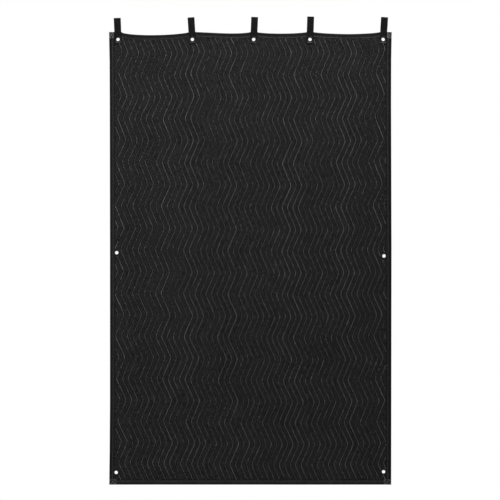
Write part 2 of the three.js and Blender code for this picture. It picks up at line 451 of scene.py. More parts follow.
def finish_cloth(shader, colour, height, roughness, specular):
    """Colour, bump in metres, and how the cloth takes the light."""
    bump = add(shader, "Bump", {"Height": height, "Strength": 1.0, "Distance": 1.0})
    feed(shader, {"Base Color": colour, "Normal": bump.outputs["Normal"]})
    feed(shader, {"Roughness": roughness, "Specular IOR Level": specular})


# Tones are shares of a cloth's colour, and depths are those of its bump
CRUMPLE_SIZE = 0.007
CRUMPLE_TONES = (0.60, 1.40)
CLOTH_COLOUR = 0.0150
WEAVE_SPACING = 0.0011
WEAVE_DEPTH = 0.00003
CRUMPLE_DEPTH = 0.0005
SLUB_SIZE = 0.0030
SLUB_STRETCH = 3.5
LEVEL_SLUB_TONES = (0.45, 1.60)
UPRIGHT_SLUB_TONES = (0.35, 1.70)
SHADE_SIZE = 0.22
SHADE_TONES = (0.93, 1.07)
QUILT_SPACING = 0.00635
PUCKER_DEPTH = 0.00030
PUCKER_REACH = 0.34
PUCKER_FADE_SIZE = 0.03
PUCKER_SHARES = (0.2, 1.0)
# Painted shade: the cloth is darker in the creases along the stitched lines
PAINTED_CREASE_SHADE = {"reach": 0.27, "tone": 0.55}
# Painted shade on the cloth in the groove just beside the tape
PAINTED_SHADE_BESIDE_TAPE = {"reach": 0.0055, "tone": 0.55}
# Painted shadow on the cloth just below the foot of each tab's tail
PAINTED_SHADOW_BELOW_TAIL = {"full": 0.0030, "gone": 0.0075, "side": 0.002, "tone": 0.05}


def quilted_cloth():
    """Plain black weave with uneven yarn, slightly crumpled, and puckered along the stitched lines.
    It has painted shade in the creases and beside the tape, and a painted shadow under the foot of each
    tab."""
    material, shader = new_material("quilted_cloth")
    place = place_in(shader)
    across, _, up = parts_of(place)
    line, down, _ = stored(shader, "quilt")
    inset, below_tail, beside_tail = stored(shader, "edges")
    off_line = maths("PINGPONG", line, 0.5)
    crumple = noise(place, CRUMPLE_SIZE, detail=4.0, roughness=0.65)
    level_slubs = noise(stretched(place, (1 / SLUB_STRETCH, 1, 1)), SLUB_SIZE)
    upright_slubs = noise(stretched(place, (1, 1, 1 / SLUB_STRETCH)), SLUB_SIZE)
    taped = BINDING_WIDTH + PAINTED_SHADE_BESIDE_TAPE["reach"]
    # painted shadow below the foot of each tab's tail
    painted_tail_shadow = product(
        fade(maths("ABSOLUTE", below_tail), PAINTED_SHADOW_BELOW_TAIL["full"], PAINTED_SHADOW_BELOW_TAIL["gone"]),
        fade(beside_tail, -PAINTED_SHADOW_BELOW_TAIL["side"], PAINTED_SHADOW_BELOW_TAIL["side"]),
    )
    tone = product(
        varied(crumple, *CRUMPLE_TONES),
        varied(level_slubs, *LEVEL_SLUB_TONES),
        varied(upright_slubs, *UPRIGHT_SLUB_TONES),
        varied(noise(place, SHADE_SIZE), *SHADE_TONES),
        # painted shade in the creases along the stitched lines
        fade(off_line, 0.0, PAINTED_CREASE_SHADE["reach"], PAINTED_CREASE_SHADE["tone"], 1.0),
        # painted shade beside the tape
        fade(inset, BINDING_WIDTH, taped, PAINTED_SHADE_BESIDE_TAPE["tone"], 1.0),
        rescale(painted_tail_shadow, 0.0, 1.0, 1.0, PAINTED_SHADOW_BELOW_TAIL["tone"]),
    )
    pucker = product(
        ribs(down, QUILT_SPACING),
        fade(off_line, 0.0, PUCKER_REACH),
        varied(noise(place, PUCKER_FADE_SIZE), *PUCKER_SHARES),
        PUCKER_DEPTH,
    )
    weave = product(ribs(across, WEAVE_SPACING), ribs(up, WEAVE_SPACING), WEAVE_DEPTH)
    height = maths("ADD", weave, pucker, product(crumple, CRUMPLE_DEPTH))
    finish_cloth(shader, tinted(tone, CLOTH_COLOUR), height, roughness=0.95, specular=0.10)
    return material


TAPE_COLOUR = 0.0125
TWILL_SPACING = 0.0014
TWILL_DEPTH = 0.00003
TAPE_CRUMPLE_DEPTH = 0.0003


def woven_tape():
    """Black tape in a fine twill. Its tone across its width, which is painted light and shade, is stored
    at its points.
    """
    material, shader = new_material("binding_tape")
    place = place_in(shader)
    across, _, up = parts_of(place)
    crumple = noise(place, CRUMPLE_SIZE, detail=3.0)
    # painted light and shade across the tape, stored at its points
    tone = product(varied(crumple, *CRUMPLE_TONES), stored(shader, "tone")[0])
    twill = product(ribs(maths("ADD", across, up), TWILL_SPACING), TWILL_DEPTH)
    height = maths("ADD", twill, product(crumple, TAPE_CRUMPLE_DEPTH))
    finish_cloth(shader, tinted(tone, TAPE_COLOUR), height, roughness=0.9, specular=0.08)
    return material


WEBBING_COLOUR = 0.0072
CORD_SPACING = 0.0016
PICK_SPACING = 0.0022
PICK_TONES = (0.7, 1.3)
WEBBING_DEPTH = 0.00008
WEBBING_PATCHES = 0.006


def webbing_cloth():
    """Black webbing: cords along it, with a pick across each."""
    material, shader = new_material("webbing")
    across, along, _ = stored(shader, "strap")
    patches = noise(place_in(shader), WEBBING_PATCHES, detail=3.0)
    weave = product(ribs(across, CORD_SPACING), ribs(along, PICK_SPACING))
    picks = rescale(weave, -1.0, 1.0, *PICK_TONES)
    colour = tinted(product(varied(patches, *CRUMPLE_TONES), picks), WEBBING_COLOUR)
    height = product(weave, WEBBING_DEPTH)
    finish_cloth(shader, colour, height, roughness=0.85, specular=0.08)
    return material


FUZZ_SIZE = 0.0008
FUZZ_DEPTH = 0.0001
FUZZ_TONES = (0.8, 1.1)


def thread(name, dark, light):
    """Sewing thread. Each stitch has its own shade between dark and light."""
    material, shader = new_material(name)
    shade = add(shader, "Attribute", {}, attribute_name="shade").outputs["Fac"]
    fuzz = noise(place_in(shader), FUZZ_SIZE)
    colour = blend(product(shade, varied(fuzz, *FUZZ_TONES)), grey(dark), grey(light))
    height = product(fuzz, FUZZ_DEPTH)
    finish_cloth(shader, colour, height, roughness=0.6, specular=0.3)
    return material


WEAR_SIZE = 0.004
PLATING = {"dark": 0.004, "light": 0.008, "glossy": 0.34, "worn": 0.48, "specular": 0.2}


def black_metal():
    """Glossy black plating, with faint wear in its gloss."""
    material, shader = new_material("eyelet_metal")
    wear = noise(place_in(shader), WEAR_SIZE, detail=3.0)
    colour = blend(varied(wear, 0.0, 1.0), grey(PLATING["dark"]), grey(PLATING["light"]))
    roughness = varied(wear, PLATING["glossy"], PLATING["worn"])
    feed(shader, {"Base Color": colour, "Roughness": roughness})
    feed(shader, {"Specular IOR Level": PLATING["specular"]})
    return material


QUILTED_CLOTH = quilted_cloth()
BINDING_TAPE = woven_tape()
WEBBING_CLOTH = webbing_cloth()
LIGHT_THREAD = thread("light_thread", dark=0.04, light=0.80)
DARK_THREAD = thread("dark_thread", dark=0.02, light=0.36)
BLACK_METAL = black_metal()


# Eyelets: how far across and down they are, and how holes open in a grid of places

EYELET_COUNT = 9
EYELETS = []
for number in range(1, EYELET_COUNT + 1):
    low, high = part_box(f"eyelet_{number}")
    EYELETS.append(((low.x + high.x) / 2, -(low.z + high.z) / 2))
HOLE_RADIUS = 0.0104
HOLE_ROOM = 0.0012
HOLE_CELLS = 0.0085
NEXT_TO_NOTHING = 1e-6
QUILT_HOLE_SPREAD = 0.024
STRAP_HOLE_SPREAD = 0.0155


def cell_middles(grid):
    return (grid[:-1, :-1] + grid[1:, 1:] + grid[1:, :-1] + grid[:-1, 1:]) / 4


def open_holes(across, down, centres, spread):
    """Cuts round holes in a grid of places. Cells in a hole are dropped, the points round it are
    moved on to its rim, and those a little further out make room. Returns the new places and which
    cells are kept."""
    across, down = (grid.copy() for grid in np.broadcast_arrays(across, down))
    kept = np.ones((across.shape[0] - 1, across.shape[1] - 1), bool)
    room = HOLE_RADIUS + HOLE_ROOM
    for centre_across, centre_down in centres:
        sideways = cell_middles(across) - centre_across
        gone = np.hypot(sideways, cell_middles(down) - centre_down) < HOLE_CELLS
        by_gone = np.zeros(across.shape, bool)
        for row, column in ((0, 0), (0, 1), (1, 0), (1, 1)):
            by_gone[row : row + gone.shape[0], column : column + gone.shape[1]] |= gone
        away = np.hypot(across - centre_across, down - centre_down)
        target = np.where(by_gone, HOLE_RADIUS, room + away * (1 - room / spread))
        target = np.where(away < spread, target, away)
        scale = target / np.maximum(away, NEXT_TO_NOTHING)
        across = centre_across + (across - centre_across) * scale
        down = centre_down + (down - centre_down) * scale
        kept &= ~gone
    return across, down, kept


# The quilted panel

ROW_SAMPLES = 4001
ROWS_PER_LEG = 8
ROW_ROOM = 0.004
CLOSE_ROOM = 0.0036
ROWS_FOLLOW_BY = 0.100
MARGIN_CELLS = 10
TAPED_INSETS = np.array([PANEL_EDGE, 0.012, BINDING_WIDTH, 0.0262])
ROWS_BY_EYELETS = np.arange(-0.014, 0.0141, 0.007)
CROWN_VARIES_BY = 0.07
HELD_MARGIN = 0.006


def rows_rise(middle, down):
    """How far the grid's rows lie higher here than on the centre line. They follow the corners of
    the zigzags, but run level along the top and bottom."""
    to_end = np.minimum(down, DROP - down)
    return LEG * corners_rise(middle, down) * smooth(to_end, PUFFED, PUFFED + ROWS_FOLLOW_BY)


def quilt_rows():
    """Rows that meet every corner of the zigzags, and closer ones by the eyelets."""
    fine = np.linspace(0, DROP, ROW_SAMPLES)
    turns = turns_at(0, fine)
    wanted = np.arange(math.ceil(turns[0] * ROWS_PER_LEG), turns[-1] * ROWS_PER_LEG) / ROWS_PER_LEG
    by_turns = np.interp(wanted, turns, fine)
    fixed = [*TAPED_INSETS, PUFFED, DROP - PUFFED, *(DROP - TAPED_INSETS[::-1])]
    centres = [down + rows_rise(across, down) for across, down in EYELETS]
    near = np.unique(np.round([centre + step for centre in centres for step in ROWS_BY_EYELETS], 3))
    near = near[(near > PUFFED + ROW_ROOM) & (near < DROP - PUFFED - ROW_ROOM)]
    near = near[np.hstack([[True], np.diff(near) > CLOSE_ROOM])]
    placed = np.sort(np.hstack([fixed, near]))
    room = np.abs(by_turns[:, None] - placed).min(axis=1)
    inside = (by_turns > PUFFED) & (by_turns < DROP - PUFFED)
    return np.sort(np.hstack([placed, by_turns[inside & (room > ROW_ROOM)]]))


def quilt_grid():
    """Places across and down of the quilt's grid. Its columns follow the zigzag lines, with close
    ones on both sides of each line, and even ones run from them out to the edges."""
    whole = np.arange(FIRST_LINE, LAST_LINE)
    lines = (whole[:, None] + np.array([0, BESIDE_LINE, 0.5, 1 - BESIDE_LINE])).ravel()
    middle = line_middle(lines)
    rows = quilt_rows()[:, None]
    down = rows - rows_rise(middle, rows)
    across = middle + zigzag(middle, down)
    room = np.minimum(across + side_edge("left", down), side_edge("right", down) - across).min(axis=0)
    inner = room > PUFFED + ROW_ROOM
    across, down = across[:, inner], down[:, inner]
    share = np.arange(MARGIN_CELLS) / MARGIN_CELLS
    left = -side_edge("left", down[:, :1])
    right = side_edge("right", down[:, -1:])
    left_margin = left + PUFFED + share * (across[:, :1] - left - PUFFED)
    right_margin = right - PUFFED - share[::-1] * (right - PUFFED - across[:, -1:])
    outer = len(TAPED_INSETS) + MARGIN_CELLS
    across = [left + TAPED_INSETS, left_margin, across, right_margin, right - TAPED_INSETS[::-1]]
    return np.hstack(across), np.pad(down, ((0, 0), (outer, outer)), "edge")


def near_tail(across, down, margin):
    """1 where a tab's tail lies over the cloth, fading to 0 over the margin round it."""
    nearest = np.zeros_like(across)
    for tab in TABS:
        away = np.abs(across - tab["across"])
        sideways = 1 - smooth(away, STRAP_HALF, STRAP_HALF + margin)
        downwards = 1 - smooth(down, TAIL_LENGTH, TAIL_LENGTH + margin)
        nearest = np.maximum(nearest, sideways * downwards)
    return nearest


def near_eyelet(across, down, margin):
    """1 under an eyelet's flange, fading to 0 over the margin round it."""
    nearest = np.zeros_like(across)
    for centre_across, centre_down in EYELETS:
        away = np.hypot(across - centre_across, down - centre_down)
        nearest = np.maximum(nearest, 1 - smooth(away, FLANGE_RADIUS, FLANGE_RADIUS + margin))
    return nearest


def quilt_half(across, down):
    """The quilt's half thickness: pinched on the lines, crowned between them, flat under the tape."""
    puff = np.abs(np.sin(np.pi * line_number(across, down))) ** CROWN_ROUNDNESS
    crown = CROWN_HALF * (1 + CROWN_VARIES_BY * uneven(SHORT_WAVES, across, down))
    half = STITCHED_HALF + (crown - STITCHED_HALF) * puff
    held = near_tail(across, down, HELD_MARGIN)
    held = np.maximum(held, near_eyelet(across, down, HELD_MARGIN))
    half = half + (np.minimum(half, HELD_HALF) - half) * held
    taped = 1 - smooth(inset_of(across, down), BINDING_WIDTH, PUFFED)
    return half + (PRESSED_HALF - half) * taped


def make_quilt():
    across, down = quilt_grid()
    across, down, kept = open_holes(across, down, EYELETS, QUILT_HOLE_SPREAD)
    half = quilt_half(across, down)
    front = cloth_point(across, down, -half)
    back = cloth_point(across, down, half)
    used, points, faces = closed_sheet(front, back, kept)
    piece = mesh_piece("quilt", points, faces, QUILTED_CLOTH, "quilted_cloth", ["quilted_panel"])
    keep_grid_values(piece, "quilt", used, line_number(across, down), down)
    # Distances kept for the material's painted shade beside the tape and painted shadow below the tails
    beside_tail = np.min([np.abs(across - tab["across"]) - STRAP_HALF for tab in TABS], axis=0)
    keep_grid_values(piece, "edges", used, inset_of(across, down), down - TAIL_LENGTH, beside_tail)
    lay_out(piece, points, faces, layers=2, layer=used >= across.size)
    return piece


# Folded tape

SEAMS = {"heading": 0.0192, "bottom": 0.0168, "left": 0.0148, "right": 0.0158}
SEAM_DENT = 0.00022
DENT_HALF = 0.0012

# Painted light and shade across each tape, as shares of its colour: by its fold, a little further in,
# and by its seam
PAINTED_LIGHT_INSETS = (0.003, 0.0095, 0.0155)
TAPE_PAINTED_LIGHT_AND_SHADE = {
    "heading": (1.15, 0.60, 1.40),
    "bottom": (1.05, 1.42, 1.50),
    "left": (0.55, 0.85, 1.15),
    "right": (0.55, 0.72, 1.25),
}
TAPE_EDGE_INSETS = (BINDING_WIDTH, 0.0221, 0.0212)
TAPE_EDGE_SHARE = 0.4
TAPE_FLAT_FROM = 0.0027
FLAT_STEPS = 6
FOLD_STEPS = 7
TAPE_LIFT = 0.00016
TAPE_WANDER = 0.0004
WANDERS_FROM = 0.004
TAPE_STEP = 0.005
LEVEL_TAPE_STEPS = 254
END_ROUND = 0.0016
END_SHARES = np.array([0, 0.12, 0.35, 0.65, 1])
END_THICKNESS = 0.4


def tape_profile(seam):
    """The middle line of a folded tape, seen end on, from its front edge round the fold to its back
    edge. Gives insets, distances behind, outward directions and half thicknesses."""
    by_seam = seam + DENT_HALF * np.array([1, 0, -1])
    to_fold = np.linspace(seam - 2 * DENT_HALF, TAPE_FLAT_FROM, FLAT_STEPS)
    insets = np.hstack([TAPE_EDGE_INSETS, by_seam, to_fold])
    fold_radius = BINDING_HALF - TAPE / 2
    flat_behind = fold_radius - np.where(insets == seam, SEAM_DENT, 0)
    turn = np.linspace(-math.pi / 2, math.pi / 2, FOLD_STEPS + 2)[1:-1]
    inset = np.hstack([insets, BINDING_HALF - fold_radius * np.cos(turn), insets[::-1]])
    behind = np.hstack([-flat_behind, fold_radius * np.sin(turn), flat_behind[::-1]])
    flat = np.zeros(len(insets))
    out_inset = np.hstack([flat, -np.cos(turn), flat])
    out_behind = np.hstack([flat - 1, np.sin(turn), flat + 1])
    half = np.full(len(inset), TAPE / 2)
    half[[0, -1]] *= TAPE_EDGE_SHARE
    return inset, behind, out_inset, out_behind, half


def make_tape(edge, along, place):
    """A tape folded over an edge. place(along, inset, behind) gives points on the cloth."""
    seam = SEAMS[edge]
    inset, behind, out_inset, out_behind, half = tape_profile(seam)
    along = along[:, None]
    loose = smooth(inset, seam, BINDING_WIDTH) * np.sign(behind)
    lift = TAPE_LIFT * uneven(TAPE_WAVES, along, inset) * loose
    wander = TAPE_WANDER * uneven(LONG_WAVES, along, behind)
    wander = wander * smooth(inset, WANDERS_FROM, BINDING_WIDTH)
    surfaces = [
        place(along, inset + wander + out_inset * off, behind + lift + out_behind * off)
        for off in (half, -half)
    ]
    used, points, faces = closed_sheet(*surfaces)
    piece = mesh_piece(f"{edge}_tape", points, faces, BINDING_TAPE, "binding_tape", [f"{edge}_binding"])
    # Painted light and shade across the tape, by how far in from its edge a point is
    tone = np.interp(inset, PAINTED_LIGHT_INSETS, TAPE_PAINTED_LIGHT_AND_SHADE[edge])
    keep_grid_values(piece, "tone", used, np.broadcast_to(tone, (len(along), len(inset))))
    return piece


def make_side_tape(side):
    inner = np.arange(2 * END_ROUND, DROP - 2 * END_ROUND, TAPE_STEP)
    ends = END_SHARES * END_ROUND

    def place(down, inset, behind):
        share = np.clip(np.minimum(down, DROP - down) / END_ROUND, 0, 1)
        rounding = np.maximum(np.sqrt(1 - (1 - share) ** 2), END_THICKNESS)
        return from_side(side, inset, down, behind * rounding)

    return make_tape(side, np.hstack([ends, inner, DROP - ends[::-1]]), place)


def make_level_tape(edge):
    def place(share, inset, behind):
        down = down_from(edge, inset)
        left = BINDING_WIDTH + GAP - side_edge("left", down)
        right = side_edge("right", down) - BINDING_WIDTH - GAP
        return cloth_point(left + share * (right - left), down, behind)

    return make_tape(edge, np.linspace(0, 1, LEVEL_TAPE_STEPS), place)


# Tab loops

TAIL_STEP = 0.0025
TAB_STEPS = {"opening": 12, "straight": 8, "turn": 11}

# Places across the webbing, and its shares of its full thickness there, which change by its edges
HALF_STRAP = np.array([0, 0.0025, 0.005, 0.008, 0.011, 0.0135, 0.015, 0.0156, STRAP_HALF])
STRAP_PLACES = np.hstack([-HALF_STRAP[:0:-1], HALF_STRAP])
STRAP_THICKNESS = np.interp(np.abs(STRAP_PLACES), HALF_STRAP[-4:], (1, 1.05, 0.85, 0.4))
TAIL_END = {"thickness": 0.55, "reach": 0.0012}
CUPPING = 0.00025
STRAP_WANDER = 0.0002


def walked_to(first, second):
    """How far along a line its points are, from two coordinates of each."""
    return np.hstack([[0], np.cumsum(np.hypot(np.diff(first), np.diff(second)))])


def tab_line(rise):
    """The middle line of a tab's webbing seen from the side, from the back tail over the crown to the
    front tail: distances behind, and heights over its eyelet."""
    crown_centre = TAB_EYELET_DOWN + rise - WEBBING / 2 - LOOP_RADIUS
    tail = np.arange(TAB_EYELET_DOWN - TAIL_LENGTH, TAB_EYELET_DOWN, TAIL_STEP)
    climb = np.linspace(0, LOOP_OPENS_BY, TAB_STEPS["opening"])
    opening = TAIL_BEHIND + (LOOP_RADIUS - TAIL_BEHIND) * smooth(climb, 0, LOOP_OPENS_BY)
    opened = TAB_EYELET_DOWN + LOOP_OPENS_BY
    straight = np.linspace(opened, crown_centre, TAB_STEPS["straight"])[1:-1]
    turn = np.linspace(0, math.pi / 2, TAB_STEPS["turn"])
    behind = [np.full(len(tail), TAIL_BEHIND), opening, np.full(len(straight), LOOP_RADIUS)]
    behind = np.hstack([*behind, LOOP_RADIUS * np.cos(turn)])
    height = [tail, TAB_EYELET_DOWN + climb, straight, crown_centre + LOOP_RADIUS * np.sin(turn)]
    height = np.hstack(height)
    return np.hstack([behind, -behind[-2::-1]]), np.hstack([height, height[-2::-1]])


def turn_with_tab(tab, across, behind, height):
    """From places on an upright tab, measured from its eyelet, to the leaning one."""
    lean = math.radians(tab["lean"])
    x = tab["across"] + across * math.cos(lean) + height * math.sin(lean)
    z = -TAB_EYELET_DOWN - across * math.sin(lean) + height * math.cos(lean)
    return np.stack(np.broadcast_arrays(x, behind, z), axis=-1)


def make_tab(number, tab):
    behind, height = tab_line(tab["rise"])
    along = walked_to(behind, height)
    tail_end = TAIL_LENGTH - TAB_EYELET_DOWN
    holes = [(0, tail_end), (0, along[-1] - tail_end)]
    across, along_grid, kept = open_holes(STRAP_PLACES, along[:, None], holes, STRAP_HOLE_SPREAD)
    line = (behind, height, np.gradient(height, along), -np.gradient(behind, along))
    behind, height, out_behind, out_height = (np.interp(along_grid, along, part) for part in line)
    to_end = np.minimum(along_grid, along[-1] - along_grid)
    full = smooth(to_end, 0, TAIL_END["reach"])
    half = WEBBING / 2 * STRAP_THICKNESS * (TAIL_END["thickness"] * (1 - full) + full)
    cup = -CUPPING * (np.abs(across) / STRAP_HALF) ** 2
    waver = STRAP_WANDER * uneven(LONG_WAVES, along_grid + number, behind)
    surfaces = [
        turn_with_tab(tab, across + waver, behind + out_behind * off, height + out_height * off)
        for off in (cup + half, cup - half)
    ]
    used, points, faces = closed_sheet(*surfaces, kept)
    piece = mesh_piece(f"tab_{number}", points, faces, WEBBING_CLOTH, "webbing", [f"tab_loop_{number}"])
    keep_grid_values(piece, "strap", used, across, along_grid)
    return piece


# Eyelets

RING_STEPS = 72
MOUTH = 0.0005
DOME = {"height": 0.0016, "rim": 0.0005, "crest": 0.0098, "roundness": 1.4}
TUBE_WALL = 0.0006
WASHER = 0.0007
BEAD = {"height": 0.0013, "end": 0.0099}
BEVEL = 0.0001
LIP_STEPS = 6
CURVE_STEPS = 8


def ring_profile(grip):
    """Half of an eyelet cut through: radii and distances behind, all the way round."""
    lip = np.linspace(0, math.pi / 2, LIP_STEPS)
    lip_radius = BORE_RADIUS + (DOME["crest"] - BORE_RADIUS) * (1 - np.cos(lip))
    lip_height = MOUTH + (DOME["height"] - MOUTH) * np.sin(lip)
    slope = np.linspace(0, 1, CURVE_STEPS)[1:]
    slope_radius = DOME["crest"] + (FLANGE_RADIUS - 3 * BEVEL - DOME["crest"]) * slope
    fall = np.cos(slope * math.pi / 2) ** DOME["roundness"]
    slope_height = DOME["rim"] + (DOME["height"] - DOME["rim"]) * fall
    dome = [*zip(lip_radius, -grip - lip_height), *zip(slope_radius, -grip - slope_height)]
    flanges = [
        (FLANGE_RADIUS, -grip - DOME["rim"] / 2),
        (FLANGE_RADIUS - 2 * BEVEL, -grip + BEVEL),
        (BORE_RADIUS + TUBE_WALL, -grip + BEVEL),
        (BORE_RADIUS + TUBE_WALL, grip - BEVEL),
        (FLANGE_RADIUS - 2 * BEVEL, grip - BEVEL),
        (FLANGE_RADIUS, grip + 2 * BEVEL),
        (FLANGE_RADIUS - BEVEL, grip + WASHER - BEVEL),
        (FLANGE_RADIUS - 3 * BEVEL, grip + WASHER),
        (BEAD["end"], grip + WASHER),
    ]
    turn = np.linspace(0, math.pi, CURVE_STEPS)
    bead_middle = (BEAD["end"] + BORE_RADIUS) / 2
    bead_radius = bead_middle + (BEAD["end"] - BORE_RADIUS) / 2 * np.cos(turn)
    bead_height = MOUTH + (BEAD["height"] - MOUTH) * np.sin(turn)
    return np.array([*dome, *flanges, *zip(bead_radius, grip + bead_height)])


def make_ring(number, across, down):
    radius, behind = ring_profile(TAB_GRIP if number <= len(TABS) else SIDE_GRIP).T
    turn = np.linspace(0, 2 * math.pi, RING_STEPS, endpoint=False)[:, None]
    x = across + radius * np.cos(turn)
    z = -down + radius * np.sin(turn)
    points = np.stack(np.broadcast_arrays(x, behind, z), axis=-1).reshape(-1, 3)
    count = len(radius)
    here = np.arange(len(points))
    above = here - here % count + (here + 1) % count
    faces = np.stack([here, above, (above + count) % len(points), (here + count) % len(points)], axis=1)
    faces = outwards(points, faces)
    return mesh_piece(f"ring_{number}", points, faces, BLACK_METAL, "eyelet_metal", [f"eyelet_{number}"])


# Stitches: small closed spindles, laid on whatever cloth is outermost where they are

RAY_FROM = 0.05
SIDES = ((-1, "front"), (1, "back"))


def tree_of(pieces):
    """All these pieces' faces, for finding the surface that a stitch lies on."""
    points, faces = [], []
    for mesh in (piece.data for piece in pieces):
        count = len(points)
        points += [point.co.copy() for point in mesh.vertices]
        faces += [[corner + count for corner in face.vertices] for face in mesh.polygons]
    return BVHTree.FromPolygons(points, faces)


def surface_at(tree, places, side):
    """How far behind the plane the outermost cloth is, seen from this side."""
    heading = Vector((0, -side, 0))
    starts = (Vector((x, side * RAY_FROM, z)) for x, z in places.tolist())
    hits = (tree.ray_cast(start, heading)[0] for start in starts)
    return np.array([hit.y if hit else np.nan for hit in hits])


# A stitch has eight points: its ends, 0 and 7, and three round each shoulder, from 1 and from 4
STITCH_FACES = np.array([
    (0, 1, 2), (0, 2, 3), (0, 3, 1),
    (1, 4, 5), (1, 5, 2), (2, 5, 6), (2, 6, 3), (3, 6, 4), (3, 4, 1),
    (7, 5, 4), (7, 6, 5), (7, 4, 6),
])
STITCH_POINTS = 8
STITCH_SECTION = ((-1, -0.2), (0, 1.1), (1, -0.2))
STITCH_SHOULDER = 0.6
STITCH_SINKS = 0.00012
STEEPEST_STITCH = 0.003

# Kinds of stitch. Each stitch's length is multiplied by a random share between "lengths", its radius
# by one between "radii" that goes with its shade, and "varies" is how far its shade strays.
QUILT_STITCH = {
    "length": 0.0048, "lengths": (0.88, 1.08), "radius": 0.00040, "radii": (0.70, 1.20), "seed": 50
}
SEAM_STITCH = {"length": 0.0034, "lengths": (0.9, 1.1), "radius": 0.00035, "varies": 0.12, "seed": 80}
TACK_STITCH = {"length": 0.0028, "radius": 0.00048, "varies": 0.12, "seed": 90}


def spindles(cloth_tree, side, places, towards, length, radius):
    """The points of stitches with these places and directions, and which of them lie on cloth."""
    ends = towards * length[:, None] / 2
    first, middle, last = (surface_at(cloth_tree, places + end * ends, side) for end in (-1, 0, 1))
    sideways = np.stack([-towards[:, 1], towards[:, 0]], axis=1) * radius[:, None]
    points = np.zeros((len(places), STITCH_POINTS, 3))
    for tip, shoulder, end, outer in ((0, 1, -1, first), (7, 4, 1, last)):
        points[:, tip, [0, 2]] = places + end * ends
        points[:, tip, 1] = outer - side * STITCH_SINKS
        for number, (out, up) in enumerate(STITCH_SECTION, shoulder):
            points[:, number, [0, 2]] = places + end * STITCH_SHOULDER * ends + out * sideways
            points[:, number, 1] = middle + (outer - middle) * STITCH_SHOULDER + side * up * radius
    return points, np.isfinite(first + middle + last) & (np.abs(first - last) < STEEPEST_STITCH)


def sew(name, cloth_tree, side, runs, stitch, seed, material, slot):
    """One piece of stitches on one side of the curtain. Each run has places and directions, as (x, z),
    and shades."""
    places, towards, shade = (np.concatenate(part) for part in zip(*runs))
    own = np.random.default_rng(stitch["seed"] + seed)
    length = np.full(len(places), stitch["length"])
    if "lengths" in stitch:
        length *= own.uniform(*stitch["lengths"], len(places))
    radius = stitch["radius"] * np.interp(shade, (0, 1), stitch.get("radii", (1, 1)))
    if "varies" in stitch:
        shade = np.clip(shade + own.normal(0, stitch["varies"], len(places)), 0, 1)
    points, laid = spindles(cloth_tree, side, places, towards, length, radius)
    points = points[laid].reshape(-1, 3)
    first_points = np.arange(0, len(points), STITCH_POINTS)[:, None, None]
    faces = outwards(points, (STITCH_FACES + first_points).reshape(-1, 3))
    piece = mesh_piece(name, points, faces, material, slot)
    keep_values(piece, "shade", np.repeat(shade[laid], STITCH_POINTS))
    lay_out(piece, points, faces)
    return piece


def directions(point, along, step):
    """Which way a line runs at these distances along it, as (x, z). point(along) is on the cloth."""
    way = (point(along + step) - point(along - step))[:, [0, 2]]
    return way / np.linalg.norm(way, axis=1)[:, None]


QUILTING_LINES = {"left": range(-28, 0), "right": range(0, 28)}
LINE_SEED = 1400
SEEDS_PER_LINE = 10
LINE_SAMPLES = 3000
LINE_ENDS = BINDING_WIDTH + 0.0029
LINE_END_SLACK = 0.0003
FIRST_STITCH_WITHIN = 0.0015
STITCH_WANDER = 0.0002
CLEAR_OF_TAIL = 0.003
CLEAR_OF_EYELET = 0.005
LINES_THAT_STAND_OUT = (-24, -16, -12, -11, -4, 6, 8, 16, 17, 18, 23, 25)
LINES_THAT_SINK_IN = (-26, -18, -9, -8, -7, -3, -1, 1, 10, 19, 21)
SHOWN = {"plain": 0.56, "standing out": 0.79, "sunk in": 0.45}
SHOWN_AT_LEAST = 0.15
SHOWN_BY_CHANCE = 0.19
SHOWN_IN_RUNS = 0.13
RUNS_KEEP = 0.80
SHOWN_MORE = {"top": 0.08, "top_reach": 0.15, "bottom": 0.16, "bottom_reach": 0.42}


def in_runs(count, own):
    """Random values around 0, where each keeps a share of the one before it."""
    value = own.normal()
    values = []
    for change in own.normal(0, math.sqrt(1 - RUNS_KEEP**2), count):
        value = RUNS_KEEP * value + change
        values.append(value)
    return np.array(values)


def how_shown(line, at, own):
    """How strongly each of a line's stitches shows, from 0 to 1."""
    kind = "standing out" if line in LINES_THAT_STAND_OUT else "plain"
    if line in LINES_THAT_SINK_IN:
        kind = "sunk in"
    runs = SHOWN_IN_RUNS * in_runs(len(at), own)
    chance = own.normal(0, SHOWN_BY_CHANCE, len(at))
    top = SHOWN_MORE["top"] * (1 - smooth(at, 0, SHOWN_MORE["top_reach"]))
    bottom = SHOWN_MORE["bottom"] * smooth(at, at[-1] - SHOWN_MORE["bottom_reach"], at[-1])
    return np.clip(SHOWN[kind] + runs + chance + top + bottom, SHOWN_AT_LEAST, 1)


def quilting_run(line, side):
    """One zigzag line's stitches. Those that show more strongly are thicker too."""

    def point(down):
        return cloth_point(line_across(line, down), down, 0)

    fine = np.linspace(LINE_ENDS, DROP - LINE_ENDS, LINE_SAMPLES)
    along = walked_to(*point(fine)[:, [0, 2]].T)
    own = np.random.default_rng(LINE_SEED + SEEDS_PER_LINE * line + (side > 0))
    at = np.arange(own.uniform(0, FIRST_STITCH_WITHIN), along[-1], QUILT_SPACING)
    at = at + own.normal(0, STITCH_WANDER, len(at))
    shown = how_shown(line, at, own)
    down = np.interp(at, along, fine)
    across = line_across(line, down)
    clear = inset_of(across, down) > LINE_ENDS - LINE_END_SLACK
    clear &= near_tail(across, down, CLEAR_OF_TAIL) < 0.5
    clear &= near_eyelet(across, down, CLEAR_OF_EYELET) < 0.5
    down, shown = down[clear], shown[clear]
    return point(down)[:, [0, 2]], directions(point, down, step=0.002), shown


